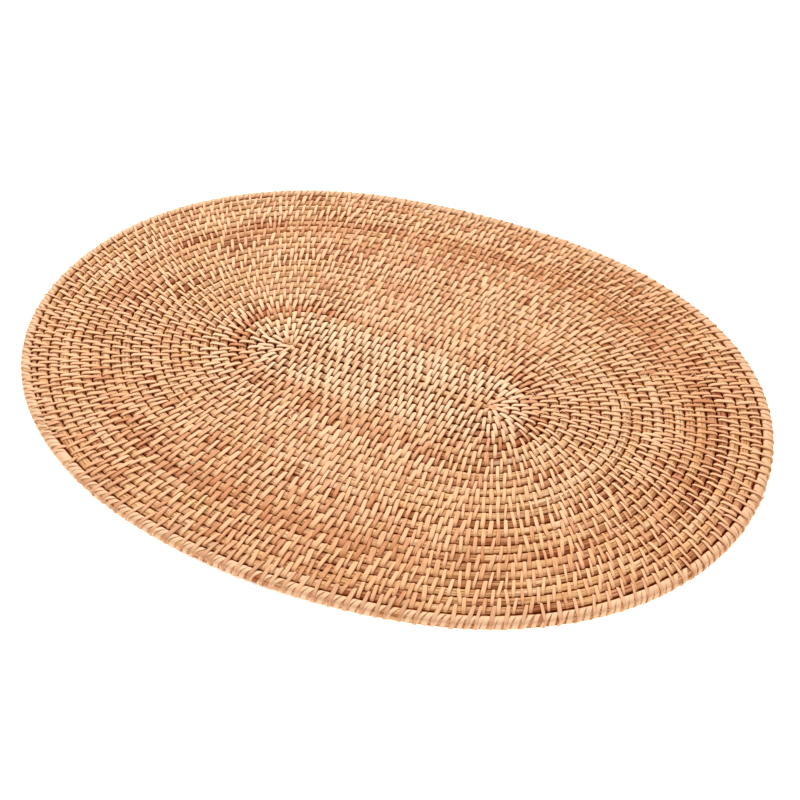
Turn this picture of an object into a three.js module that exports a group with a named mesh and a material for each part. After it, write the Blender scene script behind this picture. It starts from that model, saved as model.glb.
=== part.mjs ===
// Oval rattan placemat: one round cane wound outwards from a short straight start, and a thicker
// edge cane laid round it. Millimetres, +Z up, long way along X, lying flat on z = 0.
// The peel stitches that bind the rounds together are thinner than this model's pieces.

import * as THREE from "three";
import { ParametricGeometry } from "three/addons/geometries/ParametricGeometry.js";

// Sizes of the wound cane
const startHalfLength = 62.8; // half of the straight start in the middle
const firstPitch = 5.55; // from one round to the next at the start, across the ends
const pitchGrowth = 0.0135; // the rounds lie a little looser towards the outside
const sideFullness = 8.5; // how much further the rounds reach sideways than endways
const fullnessRounds = 11; // rounds over which the sides fill out
const startHalfWidth = 0.15;
const caneHeight = 6.0; // core and peel together
const caneGap = 0.3; // between neighbouring rounds
const taperStart = 26.5; // turns from the start to where the cane begins to thin out
const taperLength = 0.17; // in turns, if it thinned out to nothing
const leastShare = 0.1; // of the cane's width is left where it ends

// Sizes of the edge cane
const edgeWidth = 5.8;
const edgeHeight = 6.2;
const edgeGap = 0.5; // between the coil and the edge cane, at the corners of their facets

// Facets
const caneCorners = 6;
const edgeCorners = 8;
const stepsPerRound = 28;
const edgeSteps = 2 * stepsPerRound; // so that each corner of the coil meets a corner of the edge
const halvings = 30; // to find a bearing

// The rounds are not a perfect oval. Each row is a wave round the mat: how many times it swells on
// the way round, how far at the outermost round, in rounds, the bearing of its crest in degrees,
// and the power of the round's share by which it fades inwards. Those of a high power only touch
// the last few rounds.
const unevenness = [
  { swells: 0, size: -0.21, crest: 0, power: 1 },
  { swells: 4, size: 0.36, crest: 0, power: 1 },
  { swells: 1, size: 0.247, crest: 76, power: 2 },
  { swells: 2, size: 0.1, crest: 0, power: 2 },
  { swells: 3, size: -0.145, crest: 0, power: 2 },
  { swells: 6, size: -0.13, crest: 0, power: 2 },
  { swells: 0, size: -0.2, crest: 0, power: 12 },
  { swells: 1, size: -0.25, crest: 77, power: 12 },
  { swells: 2, size: 0.22, crest: 46, power: 12 },
  { swells: 3, size: 0.125, crest: 32, power: 12 },
  { swells: 4, size: -0.107, crest: 16, power: 12 },
];
const outermostRound = 26;

const fullTurn = 2 * Math.PI;

/** The plain oval of a round, at the angle of its outward direction as seen on a true ellipse. */
function plainOval(round, angle) {
  const reach = firstPitch * round + pitchGrowth * round * round;
  const bulge = startHalfWidth + sideFullness * (1 - Math.exp(-round / fullnessRounds));
  const halfLength = startHalfLength + reach;
  const halfWidth = bulge + reach;
  const along = Math.cos(angle);
  const across = Math.sin(angle);
  // The oval is a slim ellipse with a circle of radius reach rolled round it.
  const slim = new THREE.Vector2(
    along * halfWidth * startHalfLength,
    across * halfLength * bulge,
  ).normalize();
  const outward = new THREE.Vector2(along * halfWidth, across * halfLength).normalize();
  const point = new THREE.Vector2(
    startHalfLength * slim.x + reach * outward.x,
    bulge * slim.y + reach * outward.y,
  );
  const bearing = Math.atan2(point.y / halfWidth, point.x / halfLength);
  return { point, outward, bearing: THREE.MathUtils.euclideanModulo(bearing, fullTurn) };
}

/** The plain oval of a round, at a bearing from the middle. */
function ovalAt(round, bearing) {
  const quarter = fullTurn / 4;
  const turned = THREE.MathUtils.euclideanModulo(bearing, fullTurn);
  // Bearing and angle are equal at each quarter turn, and both grow in between.
  let low = Math.floor(turned / quarter) * quarter;
  let high = low + quarter;
  for (let halving = 0; halving < halvings; halving += 1) {
    const middle = (low + high) / 2;
    if (plainOval(round, middle).bearing < turned) {
      low = middle;
    } else {
      high = middle;
    }
  }
  return plainOval(round, low);
}

/** How far a round strays from its plain oval at a bearing, in rounds. */
function stray(round, bearing) {
  const share = Math.max(round, 0) / outermostRound;
  let sum = 0;
  for (const wave of unevenness) {
    const turned = wave.swells * bearing - THREE.MathUtils.degToRad(wave.crest);
    sum += wave.size * share ** wave.power * Math.cos(turned);
  }
  return sum;
}

/** A point of the uneven round, counted in turns from the start, and the way out from it. */
function unevenOval(round, bearing) {
  return ovalAt(Math.max(round + stray(round, bearing), 0), bearing);
}

/** Room for one round, from the middle of one cane to the middle of the next. */
function pitchAt(round) {
  return firstPitch + 2 * pitchGrowth * round;
}

/** How much of its width the cane still has: 1 until the taper starts, then down to 0. */
function caneShare(turns) {
  return 1 - THREE.MathUtils.smoothstep(turns, taperStart, taperStart + taperLength);
}

/** The wound cane's middle, the way out and its width, after a number of turns. */
function coilRoute(turns) {
  const share = caneShare(turns);
  // As the cane thins, it stays against the round inside it.
  const round = turns - (1 - share) / 2;
  const { point, outward } = unevenOval(round, turns * fullTurn);
  const width = share * pitchAt(round) - caneGap;
  return { point, outward, width, height: caneHeight };
}

/** The edge cane's middle, the way out and its width, after less than one turn. */
function edgeRoute(turns) {
  const share = caneShare(outermostRound + turns);
  const round = outermostRound - 1 + turns + share;
  const { point, outward } = unevenOval(round, turns * fullTurn);
  const offset = (pitchAt(round) - caneGap) / 2 + edgeGap + edgeWidth / 2;
  point.addScaledVector(outward, offset);
  return { point, outward, width: edgeWidth, height: edgeHeight };
}

/** Corners of a cane's section, with a flat top and a flat bottom, in shares of width and height. */
function caneSection(corners) {
  const half = Math.PI / corners;
  const turned = corners % 4 === 0 ? half : 0; // brings two flats to the top and the bottom
  const section = [];
  for (let corner = 0; corner < corners; corner += 1) {
    const angle = turned - corner * 2 * half;
    section.push({
      out: Math.cos(angle) / (2 * Math.cos(turned)),
      up: Math.sin(angle) / (2 * Math.cos(half)),
    });
  }
  return section;
}

/** A cane along a route, lying on z = 0: a closed ring, or with a flat face at each end. */
function caneGeometry({ route, steps, stepsPerTurn, corners, closed }) {
  const section = caneSection(corners);
  const caps = closed ? 0 : 1; // extra rows, drawn in to a point, close the two ends
  const rows = steps + 2 * caps;
  const place = (aroundShare, alongShare, target) => {
    const corner = section[Math.round(aroundShare * corners) % corners];
    const row = Math.round(alongShare * rows) - caps;
    const step = closed ? row % steps : THREE.MathUtils.clamp(row, 0, steps);
    const spread = row < 0 || row > steps ? 0 : 1;
    const { point, outward, width, height } = route(step / stepsPerTurn);
    const out = spread * corner.out * width;
    const up = spread * corner.up * height;
    target.set(point.x + out * outward.x, point.y + out * outward.y, height / 2 + up);
  };
  return new ParametricGeometry(place, corners, rows);
}

/** Whole steps of the wound cane, up to where it has tapered away. */
function coilSteps() {
  let steps = Math.ceil(taperStart * stepsPerRound);
  while (caneShare((steps + 1) / stepsPerRound) >= leastShare) {
    steps += 1;
  }
  return steps;
}

/** The wound cane, in one piece from the straight start to its tapered end. */
function buildCoil() {
  const geometry = caneGeometry({
    route: coilRoute,
    steps: coilSteps(),
    stepsPerTurn: stepsPerRound,
    corners: caneCorners,
    closed: false,
  });
  const material = new THREE.MeshStandardMaterial({
    color: 0xd39f76,
    roughness: 0.55,
    metalness: 0,
  });
  const coil = new THREE.Mesh(geometry, material);
  coil.name = "coil";
  return coil;
}

/** The edge cane: a closed oval ring round the coil. */
function buildEdge() {
  const geometry = caneGeometry({
    route: edgeRoute,
    steps: edgeSteps,
    stepsPerTurn: edgeSteps,
    corners: edgeCorners,
    closed: true,
  });
  const material = new THREE.MeshStandardMaterial({
    color: 0xdaa27c,
    roughness: 0.5,
    metalness: 0,
  });
  const edge = new THREE.Mesh(geometry, material);
  edge.name = "edge";
  return edge;
}

const group = new THREE.Group();
group.add(buildCoil(), buildEdge());

// The origin is under the middle of the mat's box.
const middle = new THREE.Box3().setFromObject(group).getCenter(new THREE.Vector3());
group.position.set(-middle.x, -middle.y, 0);

export default group;
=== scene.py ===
"""An oval placemat of coiled rattan bound with peel: its looks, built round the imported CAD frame."""

import logging
import math
from dataclasses import dataclass, field, fields, replace
from enum import Enum
from typing import NamedTuple, Sequence

import bpy
import numpy as np
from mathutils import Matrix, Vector


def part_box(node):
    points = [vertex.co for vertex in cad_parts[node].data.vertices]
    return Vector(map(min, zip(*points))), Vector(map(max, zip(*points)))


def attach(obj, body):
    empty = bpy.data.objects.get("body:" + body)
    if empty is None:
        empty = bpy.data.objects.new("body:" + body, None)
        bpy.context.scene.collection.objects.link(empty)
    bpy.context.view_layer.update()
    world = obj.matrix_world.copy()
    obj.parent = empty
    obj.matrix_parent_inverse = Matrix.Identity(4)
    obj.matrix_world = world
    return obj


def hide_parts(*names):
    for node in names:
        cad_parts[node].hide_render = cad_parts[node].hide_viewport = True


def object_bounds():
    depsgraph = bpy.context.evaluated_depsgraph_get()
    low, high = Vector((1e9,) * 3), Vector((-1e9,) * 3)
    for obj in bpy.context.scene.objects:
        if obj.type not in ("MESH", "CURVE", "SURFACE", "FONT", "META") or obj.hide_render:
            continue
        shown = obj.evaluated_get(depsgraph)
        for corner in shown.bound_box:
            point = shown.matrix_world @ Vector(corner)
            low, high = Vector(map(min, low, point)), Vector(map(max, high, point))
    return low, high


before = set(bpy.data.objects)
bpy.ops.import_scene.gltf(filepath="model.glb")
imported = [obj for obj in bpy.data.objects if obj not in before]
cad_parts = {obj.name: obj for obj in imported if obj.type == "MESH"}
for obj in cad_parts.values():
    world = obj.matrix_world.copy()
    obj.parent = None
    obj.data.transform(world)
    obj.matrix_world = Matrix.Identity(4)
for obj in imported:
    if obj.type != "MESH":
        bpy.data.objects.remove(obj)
cad_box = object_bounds()

MM = 0.001
TURN = 2 * math.pi
WHITE = (1, 1, 1, 1)
MID_HEIGHT = 3.15 * MM
log = logging.getLogger("placemat")

Array = np.ndarray
Colour = tuple[float, float, float]
Face = tuple[int, ...]
Node = bpy.types.Node
Socket = bpy.types.NodeSocket
Mesh = bpy.types.Mesh
Material = bpy.types.Material
Piece = bpy.types.Object


class Slot(Enum):
    """The record's material slots."""

    CANE = "cane"
    EDGE_CANE = "edge_cane"
    PEEL = "peel"


# ---- node trees


class Bench:
    """Adds the nodes of one tree and joins their sockets."""

    def __init__(self, tree: bpy.types.NodeTree) -> None:
        """Works on one tree."""
        self.tree = tree

    def node(self, kind: str, **settings: object) -> Node:
        """Adds a node.

        Args:
            kind: the node's type name.
            settings: properties to set on it.

        Returns:
            The new node.
        """
        made = self.tree.nodes.new(kind)
        for name, value in settings.items():
            setattr(made, name, value)
        return made

    def feed(self, node: Node, **values: object) -> Node:
        """Sets or links a node's inputs, named with underscores for spaces.

        Args:
            node: the node whose inputs are set.
            values: a plain value, or the output socket to link, for each input.

        Returns:
            The same node.
        """
        for name, value in values.items():
            socket = self.socket(node, name)
            if isinstance(value, Socket):
                self.tree.links.new(value, socket)
            else:
                socket.default_value = value
        return node

    @staticmethod
    def socket(node: Node, name: str) -> Socket:
        """Finds a live input by its name.

        Args:
            node: the node to look on.
            name: the input's name, with underscores for spaces, or its number after "in".

        Returns:
            The input socket.
        """
        if name.startswith("in") and name[2:].isdigit():
            return node.inputs[int(name[2:])]
        label = name.replace("_", " ")
        live = [socket for socket in node.inputs if socket.name == label and socket.enabled]
        return (live or [node.inputs[label]])[0]

    def math(self, operation: str, first: object, second: object = 0.0) -> Socket:
        """The result of a Math node."""
        return self.feed(self.node("ShaderNodeMath", operation=operation), in0=first, in1=second).outputs[0]

    def plus(self, first: object, second: object) -> Socket:
        """The sum of two numbers."""
        return self.math("ADD", first, second)

    def minus(self, first: object, second: object) -> Socket:
        """The difference of two numbers."""
        return self.math("SUBTRACT", first, second)

    def times(self, first: object, second: object) -> Socket:
        """The product of two numbers."""
        return self.math("MULTIPLY", first, second)

    def vectors(self, operation: str, first: Socket, second: object = (0, 0, 0)) -> Node:
        """Adds a Vector Math node for one vector or two."""
        return self.feed(self.node("ShaderNodeVectorMath", operation=operation), in0=first, in1=second)

    def scaled(self, vector: Socket, by: object) -> Socket:
        """A vector at another length."""
        node = self.node("ShaderNodeVectorMath", operation="SCALE")
        return self.feed(node, in0=vector, Scale=by).outputs[0]

    def summed(self, *vectors: Socket) -> Socket:
        """Adds vectors together.

        Args:
            vectors: two sockets or more.

        Returns:
            The sum's socket.
        """
        total = vectors[0]
        for vector in vectors[1:]:
            total = self.vectors("ADD", total, vector).outputs[0]
        return total

    def combined(self, **parts: object) -> Socket:
        """A vector made of its X, Y and Z."""
        return self.feed(self.node("ShaderNodeCombineXYZ"), **parts).outputs[0]

    def ranged(
        self,
        value: Socket,
        given: tuple[float, float],
        wanted: tuple[float, float],
        kind: str = "SMOOTHSTEP",
    ) -> Socket:
        """Maps a number from one range to another, and holds it at the range's ends.

        Args:
            value: the number.
            given: the range that it is read in.
            wanted: what that range's ends become.
            kind: how it goes from end to end.

        Returns:
            The mapped number's socket.
        """
        node = self.node("ShaderNodeMapRange", interpolation_type=kind)
        self.feed(node, Value=value, From_Min=given[0], From_Max=given[1], To_Min=wanted[0], To_Max=wanted[1])
        return node.outputs[0]

    def noise(self, dimensions: str = "3D", **values: object) -> Socket:
        """The height of a noise."""
        return self.feed(self.node("ShaderNodeTexNoise", noise_dimensions=dimensions), **values).outputs[0]


class Growth:
    """One Geometry Nodes tree with named inputs, run on a mesh and turned into a plain mesh."""

    def __init__(self, name: str, **inputs: str) -> None:
        """Starts a tree that takes and gives a geometry, and takes a finish.

        Args:
            name: the tree's name.
            inputs: the kind of each other input, named with underscores for spaces.
        """
        self.tree = bpy.data.node_groups.new(name, "GeometryNodeTree")
        self.bench = Bench(self.tree)
        outside = self.tree.interface
        outside.new_socket("Geometry", in_out="INPUT", socket_type="NodeSocketGeometry")
        outside.new_socket("Geometry", in_out="OUTPUT", socket_type="NodeSocketGeometry")
        self.inputs = {
            label: outside.new_socket(
                label.replace("_", " "), in_out="INPUT", socket_type=f"NodeSocket{kind}"
            )
            for label, kind in {**inputs, "Finish": "Material"}.items()
        }
        self.start = self.bench.node("NodeGroupInput")
        self.end = self.bench.node("NodeGroupOutput")

    def given(self, name: str) -> Socket:
        """The socket that carries a named input inside the tree."""
        return self.start.outputs[name]

    def number(self, name: str, kind: str = "FLOAT") -> Socket:
        """A named number of each point."""
        node = self.bench.node("GeometryNodeInputNamedAttribute", data_type=kind)
        return self.bench.feed(node, Name=name).outputs["Attribute"]

    def vector(self, name: str) -> Socket:
        """A named vector of each point."""
        return self.number(name, "FLOAT_VECTOR")

    def random(self, low: Socket, high: Socket, seed: Socket) -> Socket:
        """A random number for each point."""
        node = self.bench.node("FunctionNodeRandomValue", data_type="FLOAT")
        return self.bench.feed(node, Min=low, Max=high, Seed=seed).outputs[1]

    def stored(self, geometry: Socket, name: str, value: Socket) -> Socket:
        """A geometry with a number noted on each point."""
        node = self.bench.node("GeometryNodeStoreNamedAttribute", data_type="FLOAT", domain="POINT")
        return self.bench.feed(node, Geometry=geometry, Name=name, Value=value).outputs[0]

    def moved(self, geometry: Socket, offset: Socket) -> Socket:
        """A geometry with each point moved, and its faces smooth."""
        bench = self.bench
        moved = bench.feed(bench.node("GeometryNodeSetPosition"), Geometry=geometry, Offset=offset)
        return bench.feed(bench.node("GeometryNodeSetShadeSmooth"), Geometry=moved.outputs[0]).outputs[0]

    def dress(self, geometry: Socket) -> None:
        """Ends the tree: makes a geometry real, and gives it its finish.

        Args:
            geometry: the geometry that the tree has made.
        """
        bench = self.bench
        real = bench.feed(bench.node("GeometryNodeRealizeInstances"), Geometry=geometry)
        painted = bench.node("GeometryNodeSetMaterial")
        bench.feed(painted, Geometry=real.outputs[0], Material=self.given("Finish"))
        bench.feed(self.end, Geometry=painted.outputs[0])

    def grow(self, seed_mesh: Mesh, name: str, **values: object) -> Piece:
        """Runs the tree on a mesh.

        Args:
            seed_mesh: the points or lines that the tree starts from.
            name: the finished piece's name.
            values: a value for each named input, with underscores for spaces.

        Returns:
            An object at the origin that holds the result as a plain mesh.
        """
        piece = bpy.data.objects.new(name, seed_mesh)
        bpy.context.scene.collection.objects.link(piece)
        modifier = piece.modifiers.new("growth", "NODES")
        modifier.node_group = self.tree
        for label, value in values.items():
            modifier[self.inputs[label].identifier] = value
        graph = bpy.context.evaluated_depsgraph_get()
        mesh = bpy.data.meshes.new_from_object(
            piece.evaluated_get(graph), preserve_all_data_layers=True, depsgraph=graph
        )
        piece.modifiers.clear()
        piece.data = mesh
        mesh.name = name
        return piece


# ---- plan geometry


def unit(vectors: Array) -> Array:
    """The same directions at length 1."""
    return vectors / np.linalg.norm(vectors, axis=-1, keepdims=True)


def to_right(along: Array) -> Array:
    """Directions in plan, a quarter turn clockwise from the given ones."""
    return np.stack([along[..., 1], -along[..., 0]], -1)


class Wave(NamedTuple):
    """One swell in how far the rounds stray from a true oval."""

    swells: int
    size: float
    crest: float
    power: int


WAVES = (
    Wave(swells=0, size=-0.21, crest=0, power=1),
    Wave(swells=4, size=0.36, crest=0, power=1),
    Wave(swells=1, size=0.247, crest=76, power=2),
    Wave(swells=2, size=0.1, crest=0, power=2),
    Wave(swells=3, size=-0.145, crest=0, power=2),
    Wave(swells=6, size=-0.13, crest=0, power=2),
    Wave(swells=0, size=-0.2, crest=0, power=12),
    Wave(swells=1, size=-0.25, crest=77, power=12),
    Wave(swells=2, size=0.22, crest=46, power=12),
    Wave(swells=3, size=0.125, crest=32, power=12),
    Wave(swells=4, size=-0.107, crest=16, power=12),
)


@dataclass(frozen=True)
class Rounds:
    """The oval spiral that the cane follows, numbered in turns from its straight start."""

    start_half_length: float = 62.8 * MM
    start_half_width: float = 0.15 * MM
    first_pitch: float = 5.55 * MM
    pitch_growth: float = 0.0135 * MM
    side_fullness: float = 8.5 * MM
    fullness_rounds: float = 11
    outermost: float = 26
    edge_turn: float = 25
    edge_step: float = 0.25 / 360
    taper_start: float = 26.5
    taper_length: float = 0.17
    cane_gap: float = 0.3 * MM
    edge_gap: float = 0.5 * MM
    edge_width: float = 5.8 * MM
    halvings: int = 30

    def _oval(self, rounds: Array, angle: Array) -> tuple[Array, Array]:
        """Points and bearings of ovals, at an angle of the ellipse behind them.

        Args:
            rounds: how many rounds out each oval is.
            angle: the angle of each point, in radians.

        Returns:
            The points as an (n, 2) array, and their bearings.
        """
        reach = self.first_pitch * rounds + self.pitch_growth * rounds**2
        fuller = self.side_fullness * (1 - np.exp(-rounds / self.fullness_rounds))
        width = self.start_half_width + fuller
        length = np.full_like(width, self.start_half_length)
        a = length + reach
        b = width + reach
        slim = unit(np.stack([np.cos(angle) * b * length, np.sin(angle) * a * width], 1))
        outward = unit(np.stack([np.cos(angle) * b, np.sin(angle) * a], 1))
        point = slim * np.stack([length, width], 1) + outward * reach[:, None]
        return point, np.arctan2(point[:, 1] / b, point[:, 0] / a) % TURN

    def _at(self, rounds: Array, bearing: Array) -> Array:
        """Points of the true ovals at given bearings, found by halving.

        Args:
            rounds: how many rounds out each point is.
            bearing: its bearing in radians.

        Returns:
            The points as an (n, 2) array.
        """
        bearing = bearing % TURN
        quarter = TURN / 4
        low = np.floor(bearing / quarter) * quarter
        high = low + quarter
        for _ in range(self.halvings):
            middle = (low + high) / 2
            past = self._oval(rounds, middle)[1] >= bearing
            high = np.where(past, middle, high)
            low = np.where(past, low, middle)
        return self._oval(rounds, (low + high) / 2)[0]

    def _uneven(self, rounds: Array, bearing: Array) -> Array:
        """Points of the uneven ovals at given bearings.

        Args:
            rounds: how many rounds out each point is.
            bearing: its bearing in radians.

        Returns:
            The points as an (n, 2) array.
        """
        stray = sum(
            w.size * (rounds / self.outermost) ** w.power * np.cos(w.swells * bearing - math.radians(w.crest))
            for w in WAVES
        )
        return self._at(np.maximum(rounds + stray, 0), bearing)

    def pitch(self, rounds: Array) -> Array:
        """The distance from one round to the next."""
        return self.first_pitch + 2 * self.pitch_growth * rounds

    def share(self, turns: Array) -> Array:
        """How much of the wound cane's width is left, down to none at its tapered end."""
        part = np.clip((turns - self.taper_start) / self.taper_length, 0, 1)
        return 1 - part * part * (3 - 2 * part)

    def coil(self, turns: Array) -> Array:
        """Points on the middle of the wound cane, as an (n, 2) array."""
        rounds = turns - (1 - self.share(turns)) / 2
        return self._uneven(rounds, turns * TURN)

    def edge(self, turns: Array) -> Array:
        """Points on the middle of the edge cane.

        Args:
            turns: how far round each point is, from 0 to 1.

        Returns:
            The points as an (n, 2) array.
        """
        turns = turns % 1
        along = unit(self._inside(turns + self.edge_step) - self._inside(turns - self.edge_step))
        half_pitch = (self.pitch(self._rounds_inside(turns)) - self.cane_gap) / 2
        out = half_pitch + self.edge_gap + self.edge_width / 2
        return self._inside(turns) + to_right(along) * out[:, None]

    def _rounds_inside(self, turns: Array) -> Array:
        """How many rounds out the cane is that the edge cane lies against."""
        return self.edge_turn + turns + self.share(self.edge_turn + 1 + turns)

    def _inside(self, turns: Array) -> Array:
        """Points on the round that the edge cane lies against."""
        return self._uneven(self._rounds_inside(turns % 1), turns % 1 * TURN)


class Route:
    """A line in plan, sampled closely, that can be asked for places along it."""

    def __init__(self, turns: Array, points: Array) -> None:
        """Measures the line.

        Args:
            turns: the turn count at each sample, rising.
            points: the samples, as an (n, 2) array in metres.
        """
        self.turns = turns
        self.points = points
        steps = np.linalg.norm(np.diff(points, axis=0), axis=1)
        self.lengths = np.concatenate([[0.0], np.cumsum(steps)])
        self.along = unit(np.gradient(points, axis=0))

    def point(self, turn: Array) -> Array:
        """Points at given turns."""
        return np.stack([np.interp(turn, self.turns, self.points[:, i]) for i in (0, 1)], -1)

    def direction(self, turn: Array) -> Array:
        """Unit directions along the line at given turns."""
        return unit(np.stack([np.interp(turn, self.turns, self.along[:, i]) for i in (0, 1)], -1))

    def length(self, turn: Array) -> Array:
        """Lengths from the line's start at given turns."""
        return np.interp(turn, self.turns, self.lengths)

    def turn(self, length: Array) -> Array:
        """Turns at given lengths from the line's start."""
        return np.interp(length, self.lengths, self.turns)

    def nearest(self, point: Array, first: float, last: float) -> float:
        """The turn of the sample nearest to a point.

        Args:
            point: a point in plan.
            first: where to start looking, in turns.
            last: where to stop looking.

        Returns:
            The turn of the nearest sample.
        """
        low, high = np.searchsorted(self.turns, (first, last))
        high = max(high, low + 1)
        gaps = ((self.points[low:high] - point) ** 2).sum(1)
        return float(self.turns[low + int(gaps.argmin())])


@dataclass
class Layout:
    """The lines that the wound cane and the edge cane follow, in the CAD frame."""

    rounds: Rounds = Rounds()
    taper_kept: float = 0.93
    per_turn: int = 720
    edge_fineness: int = 4

    def __post_init__(self) -> None:
        """Samples both lines, and brings them to the CAD frame."""
        rounds = self.rounds
        turns = np.arange(0, rounds.taper_start + rounds.taper_length * self.taper_kept, 1 / self.per_turn)
        edge_turns = np.linspace(0, 1, self.per_turn * self.edge_fineness + 1)
        edge_points = rounds.edge(edge_turns)
        low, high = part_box("edge")
        shift = np.array(((low + high) / 2)[:2]) - (edge_points.min(0) + edge_points.max(0)) / 2
        self.coil = Route(turns, rounds.coil(turns) + shift)
        self.edge = Route(edge_turns, edge_points + shift)
        self.edge.along[[0, -1]] = (self.edge.along[0] + self.edge.along[-1]) / 2
        log.info("coil is %.2f m of cane, edge %.2f m", self.coil.lengths[-1], self.edge.lengths[-1])


# ---- finishes


BLEACH = (1.06, 1.22, 1.38, 1)
# Painted groove shade: full within the first height of the mat's mid-plane, none beyond the second, drawn in
# this many colour steps.
GROOVE_HEIGHTS = (1.656 * MM, 2.185 * MM)
DEPTH_STEPS = 5


class Paint(Bench):
    """The node tree of one finish."""

    def __init__(self, name: str) -> None:
        """Starts a material.

        Args:
            name: the material's name.
        """
        self.material = bpy.data.materials.new(name)
        self.material.use_nodes = True
        super().__init__(self.material.node_tree)
        self.shader = self.tree.nodes["Principled BSDF"]

    def place(self) -> Socket:
        """Where a point is on its object."""
        return self.node("ShaderNodeTexCoord").outputs["Object"]

    def attribute(self, name: str) -> Socket:
        """One number of the mesh's own attribute."""
        return self.node("ShaderNodeAttribute", attribute_name=name).outputs["Fac"]

    def wavered(self, noise: Socket, strength: float) -> Socket:
        """A noise brought to either side of 0."""
        return self.times(self.minus(noise, 0.5), strength)

    def ramp(self, amount: Socket, stops: Sequence[tuple[float, Colour]]) -> Socket:
        """Turns an amount into a colour.

        Args:
            amount: the amount.
            stops: the amounts, rising, and the colour at each.

        Returns:
            The colour's socket.
        """
        node = self.feed(self.node("ShaderNodeValToRGB"), Fac=amount)
        elements = node.color_ramp.elements
        elements[0].position = stops[0][0]
        elements[-1].position = stops[-1][0]
        for position, _ in stops[1:-1]:
            elements.new(position)
        for element, (_, colour) in zip(elements, stops):
            element.color = (*colour, 1)
        return node.outputs[0]

    def tinted(self, colour: Socket, by: object, amount: object = 1.0) -> Socket:
        """A colour multiplied by another, wholly or in part."""
        mix = self.node("ShaderNodeMix", data_type="RGBA", blend_type="MULTIPLY")
        return self.feed(mix, in0=amount, in6=colour, in7=by).outputs[2]

    def bleached(self, colour: Socket) -> Socket:
        """Makes a colour paler where the mesh is bleached, and richer where its bleach is below 0.

        Args:
            colour: the colour.

        Returns:
            The new colour's socket.
        """
        by = self.node("ShaderNodeMix", data_type="RGBA", clamp_factor=False)
        self.feed(by, in0=self.attribute("bleach"), in6=WHITE, in7=BLEACH)
        return self.tinted(colour, by.outputs[2])

    def groove_shaded(self, colour: Socket, groove_shade: Colour) -> Socket:
        """Paints shade into a colour in the grooves, darker and richer the deeper it lies.

        Args:
            colour: the colour.
            groove_shade: what it is multiplied by halfway through the mat.

        Returns:
            The new colour's socket.
        """
        parts = [step / DEPTH_STEPS for step in range(DEPTH_STEPS + 1)]
        stops = [(part, tuple(channel**part for channel in groove_shade)) for part in parts]
        return self.tinted(colour, self.ramp(self.depth(), stops))

    def depth(self) -> Socket:
        """How far down in the grooves a point lies, which sets its painted shade; 0 where nothing lies beside
        it.

        Returns:
            The socket of that amount, from 0 on either face to 1 inside the mat.
        """
        height = self.feed(self.node("ShaderNodeSeparateXYZ"), Vector=self.place()).outputs["Z"]
        away = self.math("ABSOLUTE", self.minus(height, MID_HEIGHT))
        # No shade is painted where nothing lies beside the surface.
        covered = self.minus(1.0, self.attribute("bare"))
        return self.times(self.ranged(away, GROOVE_HEIGHTS, (1.0, 0.0)), covered)


@dataclass(frozen=True)
class Finish:
    """What the finishes of cane and of peel share."""

    # The colour of the painted shade in the grooves, halfway through the mat.
    groove_shade: Colour = (0.29, 0.075, 0.003)
    shine: Colour = (1, 0.72, 0.45)
    roughness: float = 0.58
    gloss: float = 0.25
    relief: float = 0.35
    relief_height: float = 0.15 * MM
    detail: float = 3.0
    coarseness: float = 0.6

    def lines(self, paint: Paint, place: Socket, scale: float) -> Socket:
        """Fine lines in the rattan."""
        return paint.noise(Vector=place, Scale=scale, Detail=self.detail, Roughness=self.coarseness)

    def dress(self, paint: Paint, colour: Socket, lines: Socket) -> Material:
        """Ends a finish: bleaches its colour, paints shade into it in the grooves, and gives it its gloss and
        relief.

        Args:
            paint: the finish's tree.
            colour: its colour.
            lines: the height of its fine lines.

        Returns:
            The material.
        """
        shader = paint.shader
        # The colour is bleached, then painted shade is laid on it in the grooves.
        paint.feed(shader, Base_Color=paint.groove_shaded(paint.bleached(colour), self.groove_shade))
        paint.feed(shader, Roughness=self.roughness, Specular_IOR_Level=self.gloss)
        paint.feed(shader, Specular_Tint=(*self.shine, 1))
        bump = paint.node("ShaderNodeBump")
        paint.feed(bump, Strength=self.relief, Distance=self.relief_height, Height=lines)
        paint.feed(shader, Normal=bump.outputs[0])
        return paint.material


@dataclass(frozen=True)
class PeelFinish(Finish):
    """Split peel: pale straw to peach, with fine lines along each strip and painted shade along its two
    edges.
    """

    dark: Colour = (0.60, 0.25, 0.11)
    peach: Colour = (0.85, 0.505, 0.285)
    straw: Colour = (0.92, 0.605, 0.37)
    # The colour of the painted shade along each strip's edges, where it meets its neighbours.
    rim: Colour = (0.62, 0.40, 0.28)
    peach_at: float = 0.33
    straw_at: float = 0.85
    # How far out across the strip the painted edge shade starts, and how strongly it darkens at the very
    # edge.
    border_shade_from: float = 0.7
    border_shade_strength: float = 0.8
    fibres: float = 0.9
    line_scale: float = 1.4
    along: float = 130.0
    across: float = 1.6
    apart: float = 91.0

    def build(self, name: str) -> Material:
        """Makes the material.

        Args:
            name: the material's name.

        Returns:
            The material.
        """
        paint = Paint(name)
        tone = paint.attribute("tone")
        across = paint.attribute("across")
        place = paint.combined(
            X=paint.times(paint.attribute("run"), self.along),
            Y=paint.times(across, self.across),
            Z=paint.times(tone, self.apart),
        )
        lines = self.lines(paint, place, self.line_scale)
        stops = ((0.0, self.dark), (self.peach_at, self.peach), (self.straw_at, self.straw))
        colour = paint.ramp(paint.plus(tone, paint.wavered(lines, self.fibres)), stops)
        # Painted shade along both edges of the strip.
        border_shading = paint.ranged(paint.math("ABSOLUTE", across), (self.border_shade_from, 1.0), (0.0, self.border_shade_strength))
        return self.dress(paint, paint.tinted(colour, (*self.rim, 1), border_shading), lines)


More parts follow.
